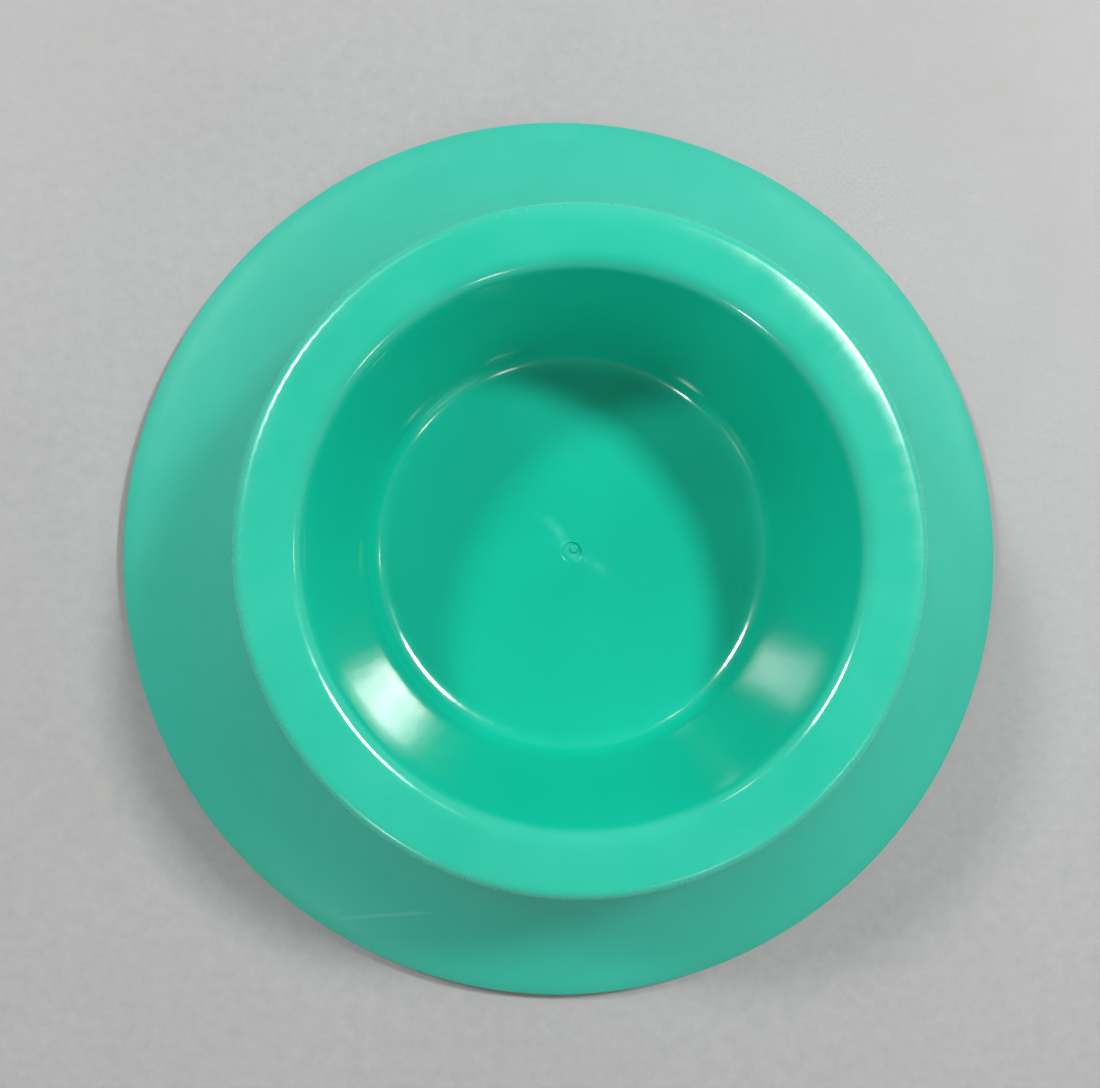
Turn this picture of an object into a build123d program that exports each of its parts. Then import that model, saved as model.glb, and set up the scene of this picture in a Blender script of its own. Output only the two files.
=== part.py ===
# Non-tip bowl: a glossy dish that lifts out of a wide, hollow, flared base standing on a soft ring.
# Millimetres. +Z up, origin on the ground at the centre of the base.

import os

from build123d import *

# overall
base_radius = 125.0  # outer edge of the base, on the ground
rim_height = 64.0  # flat top of the rim above the ground
shell = 2.2  # moulded wall thickness of both parts
fit_gap = 0.4  # clearance between the lift-out bowl and the base

# bowl
floor_height = 18.0  # eating surface above the ground
wall_foot_radius = 54.2  # where the wall would meet the floor without its fillet
mouth_radius = 67.1  # where the wall would meet the rim without its rounding
rim_radius = 82.9  # outside of the rim
rim_thickness = 2.4
lip_depth = 4.6  # the rim's turned-down edge, from the top of the rim
lip_thickness = 2.2

# roundings of the bowl
foot_round = 7.0  # fillet between floor and wall
mouth_round = 5.0  # rounded inner edge of the rim
rim_round = 3.2
under_round = foot_round + shell
edge_round = 0.5

# gate mark in the middle of the floor: a shallow dimple with an off-centre pip
gate_radius = 2.6
gate_depth = 0.4
gate_ease = 0.25
pip_offset = (0.7, 0.9)
pip_radius = 1.1
pip_height = 0.7
pip_ease = 0.35

# base
seat_inner_radius = 70.4  # hole that the bowl hangs through
collar_depth = 7.0  # stiffening collar round the hole
neck_drop = 1.0  # shoulder under the lip, below the lip's lower edge
flare_bow = 8.2  # how far the flare curves in from its straight chord
edge_height = 4.4  # top of the outer edge above the ground
edge_ease = 1.2
seat_round = 0.9
foot_width = 9.0  # solid band along the outer edge
foot_height = 7.4  # top of the band's inner side
foot_clearance = 1.2  # gap between the band and the ground

# anti-slip ring
ring_mid_radius = 120.4
ring_width = 3.6
groove_gap = 0.2  # play on each side of the ring in its groove
groove_depth = 1.4
ring_round = 0.4

radius_match = 0.01  # how closely an edge's radius must agree for it to be picked


# ---- derived heights and radii
rim_underside = rim_height - rim_thickness
lip_bottom = rim_height - lip_depth
lip_inner_radius = rim_radius - lip_thickness
neck_radius = lip_inner_radius - fit_gap
shoulder_height = lip_bottom - neck_drop
foot_inner_radius = base_radius - foot_width
groove_top = foot_clearance + groove_depth


def circles_of(part, radius):
    """The part's circular edges of one radius, lowest first."""
    circles = part.edges().filter_by(GeomType.CIRCLE)
    return circles.filter_by(lambda edge: abs(edge.radius - radius) < radius_match).sort_by(Axis.Z)


# ---- bowl: one revolved wall, floor first, over the rim and back underneath
with BuildPart() as bowl:
    with BuildSketch(Plane.XZ):
        with BuildLine():
            FilletPolyline(
                (0, floor_height),
                (wall_foot_radius, floor_height),
                (mouth_radius, rim_height),
                (rim_radius, rim_height),
                (rim_radius, lip_bottom),
                radius=(foot_round, mouth_round, rim_round),
            )
            FilletPolyline(
                (rim_radius, lip_bottom),
                (lip_inner_radius, lip_bottom),
                (lip_inner_radius, rim_underside),
                (mouth_radius + shell, rim_underside),
                (wall_foot_radius + shell, floor_height - shell),
                (0, floor_height - shell),
                radius=(0, edge_round, edge_round, under_round),
            )
            Line((0, floor_height - shell), (0, floor_height))
        make_face()
    revolve(axis=Axis.Z)

    # gate mark
    with BuildSketch(Plane.XY.offset(floor_height)):
        Circle(gate_radius)
    extrude(amount=-gate_depth, mode=Mode.SUBTRACT)
    fillet(circles_of(bowl, gate_radius)[-1], radius=gate_ease)
    with BuildSketch(Plane.XY.offset(floor_height - gate_depth)):
        with Locations(pip_offset):
            Circle(pip_radius)
    extrude(amount=pip_height)
    fillet(circles_of(bowl, pip_radius)[-1], radius=pip_ease)

# ---- base: seat and collar at the top, curved flare, solid band with a groove at the bottom
with BuildPart() as base:
    with BuildSketch(Plane.XZ):
        with BuildLine():
            flare = SagittaArc((neck_radius, shoulder_height), (base_radius, edge_height), -flare_bow)
            flare_centre = flare.arc_center
            inner_scale = (flare.radius + shell) / flare.radius
            inner_top = flare_centre + (flare @ 0 - flare_centre) * inner_scale
            inner_bottom = flare_centre + (flare @ 1 - flare_centre) * inner_scale
            RadiusArc(inner_top, inner_bottom, -(flare.radius + shell))
            Polyline(
                inner_top,
                (neck_radius - shell, rim_underside - shell),
                (seat_inner_radius + shell, rim_underside - shell),
                (seat_inner_radius + shell, rim_underside - collar_depth),
                (seat_inner_radius, rim_underside - collar_depth),
                (seat_inner_radius, rim_underside),
                (neck_radius, rim_underside),
                flare @ 0,
            )
            Line(flare @ 1, inner_bottom)
        make_face()
        with BuildLine():
            Polyline(
                (foot_inner_radius, foot_clearance),
                (base_radius, foot_clearance),
                (base_radius, edge_height),
                (foot_inner_radius, foot_height),
                close=True,
            )
        make_face()
    revolve(axis=Axis.Z)

    # groove for the anti-slip ring
    with BuildSketch(Plane.XY.offset(foot_clearance)):
        Circle(ring_mid_radius + ring_width / 2 + groove_gap)
        Circle(ring_mid_radius - ring_width / 2 - groove_gap, mode=Mode.SUBTRACT)
    extrude(amount=groove_depth, mode=Mode.SUBTRACT)

    # eased outer edge, top and bottom, and the corner that sits inside the bowl's lip
    fillet(circles_of(base, base_radius), radius=edge_ease)
    seat_edges = base.edges().filter_by(GeomType.CIRCLE).group_by(Axis.Z)[-1]
    fillet(seat_edges.sort_by(SortBy.RADIUS)[-1], radius=seat_round)

# ---- anti-slip ring: fills the groove and stands proud of it
with BuildPart() as anti_slip_ring:
    with BuildSketch(Plane.XY):
        Circle(ring_mid_radius + ring_width / 2)
        Circle(ring_mid_radius - ring_width / 2, mode=Mode.SUBTRACT)
    extrude(amount=groove_top)
    fillet(anti_slip_ring.faces().sort_by(Axis.Z)[0].edges(), radius=ring_round)

bowl.part.label = "bowl"
base.part.label = "base"
anti_slip_ring.part.label = "anti_slip_ring"

os.makedirs("parts", exist_ok=True)
export_step(bowl.part, "parts/bowl.step")
export_step(base.part, "parts/base.step")
export_step(anti_slip_ring.part, "parts/anti_slip_ring.step")
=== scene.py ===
import math

import bpy
from mathutils import Matrix, Vector

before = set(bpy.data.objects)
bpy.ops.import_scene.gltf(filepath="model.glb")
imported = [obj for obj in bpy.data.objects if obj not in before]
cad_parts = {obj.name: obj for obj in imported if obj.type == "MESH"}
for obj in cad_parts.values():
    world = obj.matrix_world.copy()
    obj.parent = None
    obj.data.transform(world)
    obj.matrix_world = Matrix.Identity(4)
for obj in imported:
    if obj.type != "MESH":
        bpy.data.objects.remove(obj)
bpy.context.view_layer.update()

scene = bpy.context.scene

# ---------------------------------------------------------------- settings
CAMERA_AT = (-0.0245, -0.0083, 0.3358)
CAMERA_AIM = (-0.0049, 0.0028, 0.0)
CAMERA_LENS = 38.0
SENSOR = 36.0

FLOOR_SIZE = 3.0

# lamps: bearing and elevation in degrees, size in metres and power in watts, all LAMP_DISTANCE away
LAMP_DISTANCE = 1.6
KEY_PLACE = (36.0, 51.0)
SECOND_PLACE = (144.0, 45.0)
MAIN_LAMPS = (
    ("key", KEY_PLACE, (0.25, 0.20), 19.6),
    ("second", SECOND_PLACE, (0.25, 0.20), 12.5),
)
# seen only in reflections, so the highlights can be set apart from the light
SHEEN_LAMPS = (
    ("key_sheen", KEY_PLACE, (0.20, 0.20), 24.0),
    ("second_sheen", SECOND_PLACE, (0.18, 0.16), 11.0),
)
# smaller lamps round the room: bearing, elevation, size and power
HALL_LAMPS = (
    (238.0, 30.0, 0.12, 3.0),
    (296.0, 34.0, 0.12, 1.5),
    (324.0, 34.0, 0.12, 1.5),
    (116.0, 38.0, 0.10, 0.7),
    (4.0, 38.0, 0.10, 0.7),
)

# room light: brightness near the horizon and overhead, and the heights between which it changes
ROOM_COLOR = (0.93, 0.98, 1.0, 1)
ROOM_LOW = 0.58
ROOM_HIGH = 0.13
ROOM_HEIGHTS = (0.1, 0.85)

# colours as 0 to 255 sRGB, darker first
GLOSS_GREENS = ((10, 172, 143), (15, 180, 151))
MATTE_GREENS = ((12, 168, 142), (20, 176, 151))
FLOW_COLOR = (120, 228, 208)
RIM_COLOR = (170, 228, 212)
SCUFF_COLOR = (150, 226, 208)
FLOOR_SPECKS = ((150, 150, 150), (164, 163, 161))
FLOOR_CLOUDS = ((148, 147, 145), (162, 162, 163))
# rubber greys, as linear light
RUBBER_GREYS = ((0.012, 0.013, 0.013), (0.022, 0.024, 0.024))

PLASTIC_IOR = 1.49
MATTE_SHEEN = 0.66

# flow marks by the gate: bearing, wave length, swing and reach, in degrees and metres
FLOW_TURN = 42.5
FLOW_WAVE = 0.020
FLOW_SWING = 0.0011
FLOW_START = 0.004
FLOW_REACH = 0.017
FLOW_EDGES = (0.0002, 0.0022)  # distance from the line where it starts and ends to fade
FLOW_STRENGTH = 0.20
BOWL_FLOOR_BELOW = 0.0172

# polishing lines up the wall: noise cells round each radian and up each metre
DRAW_ROUND = 16.0
DRAW_UP = 22.0

# heights between which the top of the rim turns paler
RIM_PALING_FROM = 0.0605
RIM_PALING_TO = 0.0630

# distances from the axis between which the rim's outer edge turns duller, and by how much
EDGE_WEAR_FROM = 0.0770
EDGE_WEAR_TO = 0.0805
EDGE_WEAR = 0.13

# corners of a turned piece count as one ring within RING_STEP, and as one surface within RING_CORNER;
# inside GATE_REACH the gate mark is not round the axis
RING_STEP = 0.0001
RING_CORNER = math.radians(12.0)
GATE_REACH = 0.0055

# scratch on the flare, in a frame turned by its own bearing
SCUFF_TURN = 8.4
SCUFF_ACROSS = -0.0919
SCUFF_FROM = -0.078
SCUFF_TO = -0.050
SCUFF_WANDER = 0.0016
SCUFF_EDGES = (0.0001, 0.0008)
SCUFF_FULL = 0.6  # share of its half length over which it keeps its full strength
SCUFF_STRENGTH = 0.15


# ---------------------------------------------------------------- node helpers
class Nodes:
    """Short calls for building a material's node tree."""

    def __init__(self, name):
        self.material = bpy.data.materials.new(name)
        self.material.use_nodes = True
        self.tree = self.material.node_tree
        self.shader = self.tree.nodes["Principled BSDF"]

    def add(self, kind, **values):
        node = self.tree.nodes.new(kind)
        for key, value in values.items():
            if key in node.inputs:
                node.inputs[key].default_value = value
            else:
                setattr(node, key, value)
        return node

    def join(self, source, target):
        self.tree.links.new(source, target)

    def place(self):
        return self.add("ShaderNodeTexCoord").outputs["Object"]

    def split(self, vector):
        node = self.add("ShaderNodeSeparateXYZ")
        self.join(vector, node.inputs["Vector"])
        return node.outputs

    def turned(self, vector, degrees):
        node = self.add("ShaderNodeMapping")
        node.inputs["Rotation"].default_value = (0, 0, math.radians(degrees))
        self.join(vector, node.inputs["Vector"])
        return node.outputs["Vector"]

    def noise(self, where, scale, detail=4.0, roughness=0.5):
        node = self.add("ShaderNodeTexNoise", Scale=scale, Detail=detail, Roughness=roughness)
        self.join(where, node.inputs["Vector"])
        return node.outputs["Fac"]

    def span(self, value, low, high, out_low, out_high):
        node = self.add("ShaderNodeMapRange")
        node.inputs["From Min"].default_value = low
        node.inputs["From Max"].default_value = high
        node.inputs["To Min"].default_value = out_low
        node.inputs["To Max"].default_value = out_high
        self.join(value, node.inputs["Value"])
        return node.outputs["Result"]

    def ramp(self, value, low, high, colors):
        node = self.add("ShaderNodeValToRGB")
        for stop, position, color in zip(node.color_ramp.elements, (low, high), colors):
            stop.position = position
            stop.color = (*color, 1)
        self.join(value, node.inputs["Fac"])
        return node.outputs["Color"]

    def math(self, operation, a, b=0.0):
        node = self.add("ShaderNodeMath", operation=operation)
        for socket, value in zip(node.inputs, (a, b)):
            if isinstance(value, (int, float)):
                socket.default_value = value
            else:
                self.join(value, socket)
        return node.outputs["Value"]

    def blend(self, factor, a, b):
        """Mix two colours: the colour form of the node takes its factor at 0 and its colours at 6 and 7."""
        node = self.add("ShaderNodeMix", data_type="RGBA")
        for index, value in ((0, factor), (6, a), (7, b)):
            socket = node.inputs[index]
            if isinstance(value, (int, float)):
                socket.default_value = value
            elif isinstance(value, tuple):
                socket.default_value = (*value, 1)
            else:
                self.join(value, socket)
        return node.outputs[2]

    def bump(self, height, strength, distance, below=None):
        node = self.add("ShaderNodeBump", Strength=strength, Distance=distance)
        self.join(height, node.inputs["Height"])
        if below is not None:
            self.join(below, node.inputs["Normal"])
        return node.outputs["Normal"]


def srgb(color):
    """Linear light of a 0 to 255 sRGB colour, by the sRGB standard's curve."""
    shares = [channel / 255 for channel in color]
    return tuple(share / 12.92 if share <= 0.04045 else ((share + 0.055) / 1.055) ** 2.4 for share in shares)


def both(colors):
    return [srgb(color) for color in colors]


# ---------------------------------------------------------------- materials
def glossy_plastic():
    n = Nodes("glossy_green")
    where = n.place()
    tone = n.noise(where, 14.0, 3.0)
    fine = n.noise(where, 1100.0, 2.0)
    color = n.ramp(tone, 0.3, 0.7, both(GLOSS_GREENS))
    color = n.blend(flow_marks(n, where), color, srgb(FLOW_COLOR))
    color = n.blend(rim_paling(n, where), color, srgb(RIM_COLOR))
    n.join(color, n.shader.inputs["Base Color"])
    smudge = n.span(n.noise(where, 45.0, 6.0, 0.6), 0.35, 0.7, 0.09, 0.14)
    smudge = n.math("ADD", smudge, n.span(draw_lines(n, where), 0.4, 0.65, 0.0, 0.05))
    n.join(n.math("ADD", smudge, edge_wear(n, where)), n.shader.inputs["Roughness"])
    waves = n.bump(n.noise(where, 30.0, 2.0), 0.05, 0.002)
    n.join(n.bump(fine, 0.025, 0.00015, waves), n.shader.inputs["Normal"])
    n.shader.inputs["IOR"].default_value = PLASTIC_IOR
    return n.material


def rim_paling(n, where):
    """The top of the rim turns a little paler, in patches."""
    high = n.span(n.split(where)["Z"], RIM_PALING_FROM, RIM_PALING_TO, 0.0, 1.0)
    return n.math("MULTIPLY", high, n.span(n.noise(where, 55.0, 5.0), 0.3, 0.7, 0.035, 0.065))


def edge_wear(n, where):
    """The outer edge of the rim is rubbed a little duller: extra roughness by distance from the axis."""
    flat = n.add("ShaderNodeVectorMath", operation="MULTIPLY")
    flat.inputs[1].default_value = (1, 1, 0)
    n.join(where, flat.inputs[0])
    reach = n.add("ShaderNodeVectorMath", operation="LENGTH")
    n.join(flat.outputs["Vector"], reach.inputs[0])
    return n.span(reach.outputs["Value"], EDGE_WEAR_FROM, EDGE_WEAR_TO, 0.0, EDGE_WEAR)


def draw_lines(n, where):
    """Noise drawn out up and down the wall, as a polished mould leaves it."""
    x, y, z = n.split(where)
    spread = n.add("ShaderNodeCombineXYZ")
    n.join(n.math("MULTIPLY", n.math("ARCTAN2", y, x), DRAW_ROUND), spread.inputs["X"])
    n.join(n.math("MULTIPLY", z, DRAW_UP), spread.inputs["Y"])
    return n.noise(spread.outputs["Vector"], 1.0, 4.0, 0.6)


def flow_marks(n, where):
    """Pale streaks of slower-cooled plastic that run out from the gate mark on the floor of the bowl."""
    along, across, up = n.split(n.turned(where, FLOW_TURN))
    swing = n.math("COSINE", n.math("MULTIPLY", along, 2 * math.pi / FLOW_WAVE))
    curve = n.math("MULTIPLY", n.math("SUBTRACT", 1.0, swing), FLOW_SWING)
    off = n.math("ABSOLUTE", n.math("SUBTRACT", across, curve))
    line = n.span(off, *FLOW_EDGES, 1.0, 0.0)
    reach = n.span(n.math("ABSOLUTE", along), FLOW_START, FLOW_REACH, 1.0, 0.0)
    patchy = n.span(n.noise(where, 260.0, 3.0), 0.35, 0.65, 0.15, 1.0)
    above = n.math("GREATER_THAN", up, BOWL_FLOOR_BELOW)
    mask = n.math("MULTIPLY", n.math("MULTIPLY", line, reach), n.math("MULTIPLY", patchy, above))
    return n.math("MULTIPLY", mask, FLOW_STRENGTH)


def matte_plastic():
    n = Nodes("matte_green")
    where = n.place()
    tone = n.noise(where, 16.0, 5.0, 0.6)
    fine = n.noise(where, 1600.0, 2.0)
    color = n.ramp(tone, 0.3, 0.7, both(MATTE_GREENS))
    color = n.blend(scuff(n, where), color, srgb(SCUFF_COLOR))
    n.join(color, n.shader.inputs["Base Color"])
    n.join(n.span(n.noise(where, 80.0, 5.0), 0.3, 0.7, 0.44, 0.56), n.shader.inputs["Roughness"])
    n.join(n.bump(fine, 0.12, 0.0002), n.shader.inputs["Normal"])
    n.shader.inputs["Specular IOR Level"].default_value = MATTE_SHEEN
    n.shader.inputs["IOR"].default_value = PLASTIC_IOR
    return n.material


def scuff(n, where):
    """One faint straight scratch low on the flare."""
    along, across, _ = n.split(n.turned(where, -SCUFF_TURN))
    wander = n.math("MULTIPLY", n.noise(where, 90.0, 2.0), SCUFF_WANDER)
    off = n.math("ABSOLUTE", n.math("SUBTRACT", n.math("SUBTRACT", across, SCUFF_ACROSS), wander))
    line = n.span(off, *SCUFF_EDGES, 1.0, 0.0)
    middle = (SCUFF_FROM + SCUFF_TO) / 2
    half = (SCUFF_TO - SCUFF_FROM) / 2
    reach = n.span(n.math("ABSOLUTE", n.math("SUBTRACT", along, middle)), half * SCUFF_FULL, half, 1.0, 0.0)
    return n.math("MULTIPLY", n.math("MULTIPLY", line, reach), SCUFF_STRENGTH)


def soft_rubber():
    n = Nodes("soft_rubber")
    grain = n.noise(n.place(), 700.0)
    n.join(n.ramp(grain, 0.3, 0.7, RUBBER_GREYS), n.shader.inputs["Base Color"])
    n.join(n.span(grain, 0.3, 0.7, 0.7, 0.85), n.shader.inputs["Roughness"])
    n.join(n.bump(grain, 0.2, 0.0003), n.shader.inputs["Normal"])
    return n.material


def pale_floor():
    n = Nodes("pale_floor")
    where = n.place()
    cloud = n.noise(where, 9.0, 6.0, 0.6)
    speck = n.noise(where, 240.0, 6.0, 0.7)
    specks = n.ramp(speck, 0.3, 0.7, both(FLOOR_SPECKS))
    clouds = n.ramp(cloud, 0.35, 0.65, both(FLOOR_CLOUDS))
    n.join(n.blend(0.25, specks, clouds), n.shader.inputs["Base Color"])
    n.join(n.span(speck, 0.3, 0.7, 0.6, 0.8), n.shader.inputs["Roughness"])
    n.join(n.bump(speck, 0.15, 0.001), n.shader.inputs["Normal"])
    return n.material


# ---------------------------------------------------------------- shading of the turned pieces
def even_normals(mesh):
    """Give a turned piece the same normals all the way round each of its rings of corners.

    Only the shading changes: no corner moves. Corners of one ring whose normals tilt alike share their mean
    tilt, and lose the sideways lean that the facets give them.
    """
    rings = {}
    for loop, corner in zip(mesh.loops, mesh.corner_normals):
        place = mesh.vertices[loop.vertex_index].co
        reach = math.hypot(place.x, place.y)
        if reach < GATE_REACH:
            continue
        outward = (corner.vector.x * place.x + corner.vector.y * place.y) / reach
        ring = (round(reach / RING_STEP), round(place.z / RING_STEP))
        rings.setdefault(ring, []).append((math.atan2(corner.vector.z, outward), loop.index))
    normals = [corner.vector.copy() for corner in mesh.corner_normals]
    for ring in rings.values():
        ring.sort()
        group = []
        for position, (tilt, index) in enumerate(ring):
            group.append((tilt, index))
            last = position + 1 == len(ring)
            if last or ring[position + 1][0] - tilt > RING_CORNER:
                mean = sum(entry[0] for entry in group) / len(group)
                for _, member in group:
                    place = mesh.vertices[mesh.loops[member].vertex_index].co
                    out = Vector((place.x, place.y, 0)).normalized() * math.cos(mean)
                    normals[member] = Vector((out.x, out.y, math.sin(mean)))
                group = []
    mesh.normals_split_custom_set(normals)


LOOKS = {"bowl": glossy_plastic(), "base": matte_plastic(), "anti_slip_ring": soft_rubber()}
for node, look in LOOKS.items():
    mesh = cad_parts[node].data
    even_normals(mesh)
    mesh.materials.clear()
    mesh.materials.append(look)

# ---------------------------------------------------------------- floor
bpy.ops.mesh.primitive_plane_add(size=FLOOR_SIZE, location=(0, 0, 0))
floor = bpy.context.object
floor.name = "floor"
floor.data.materials.append(pale_floor())


# ---------------------------------------------------------------- lights
def area_light(name, place, size, power, gloss_only=False):
    bearing, elevation = (math.radians(angle) for angle in place)
    data = bpy.data.lights.new(name, "AREA")
    data.shape = "RECTANGLE"
    data.size, data.size_y = size
    data.energy = power
    lamp = bpy.data.objects.new(name, data)
    level = math.cos(elevation)
    back = Vector((math.cos(bearing) * level, math.sin(bearing) * level, math.sin(elevation)))
    lamp.location = back * LAMP_DISTANCE
    side = Vector((0, 0, 1)).cross(back).normalized()
    lamp.rotation_euler = Matrix((side, back.cross(side), back)).transposed().to_euler()
    lamp.visible_diffuse = not gloss_only
    scene.collection.objects.link(lamp)


for name, place, size, power in MAIN_LAMPS:
    area_light(name, place, size, power)
for name, place, size, power in SHEEN_LAMPS:
    area_light(name, place, size, power, gloss_only=True)
for index, (bearing, elevation, size, power) in enumerate(HALL_LAMPS):
    area_light(f"hall_{index}", (bearing, elevation), (size, size), power)


def soft_room():
    """Even, soft light from low round the sides, dimmer overhead."""
    world = bpy.data.worlds.new("room")
    scene.world = world
    world.use_nodes = True
    tree = world.node_tree
    coords = tree.nodes.new("ShaderNodeTexCoord")
    parts = tree.nodes.new("ShaderNodeSeparateXYZ")
    fall = tree.nodes.new("ShaderNodeMapRange")
    fall.inputs["From Min"].default_value = ROOM_HEIGHTS[0]
    fall.inputs["From Max"].default_value = ROOM_HEIGHTS[1]
    fall.inputs["To Min"].default_value = ROOM_LOW
    fall.inputs["To Max"].default_value = ROOM_HIGH
    background = tree.nodes["Background"]
    background.inputs["Color"].default_value = ROOM_COLOR
    tree.links.new(coords.outputs["Generated"], parts.inputs["Vector"])
    tree.links.new(parts.outputs["Z"], fall.inputs["Value"])
    tree.links.new(fall.outputs["Result"], background.inputs["Strength"])


soft_room()

# ---------------------------------------------------------------- camera
camera_data = bpy.data.cameras.new("camera")
camera_data.lens = CAMERA_LENS
camera_data.sensor_width = SENSOR
camera_data.clip_start = 0.01
camera = bpy.data.objects.new("camera", camera_data)
camera.location = CAMERA_AT
aim = (Vector(CAMERA_AIM) - Vector(CAMERA_AT)).normalized()
right = aim.cross(Vector((0, 1, 0))).normalized()
camera.rotation_euler = Matrix((right, right.cross(aim), -aim)).transposed().to_euler()
scene.collection.objects.link(camera)
scene.camera = camera

scene.view_settings.view_transform = "Standard"
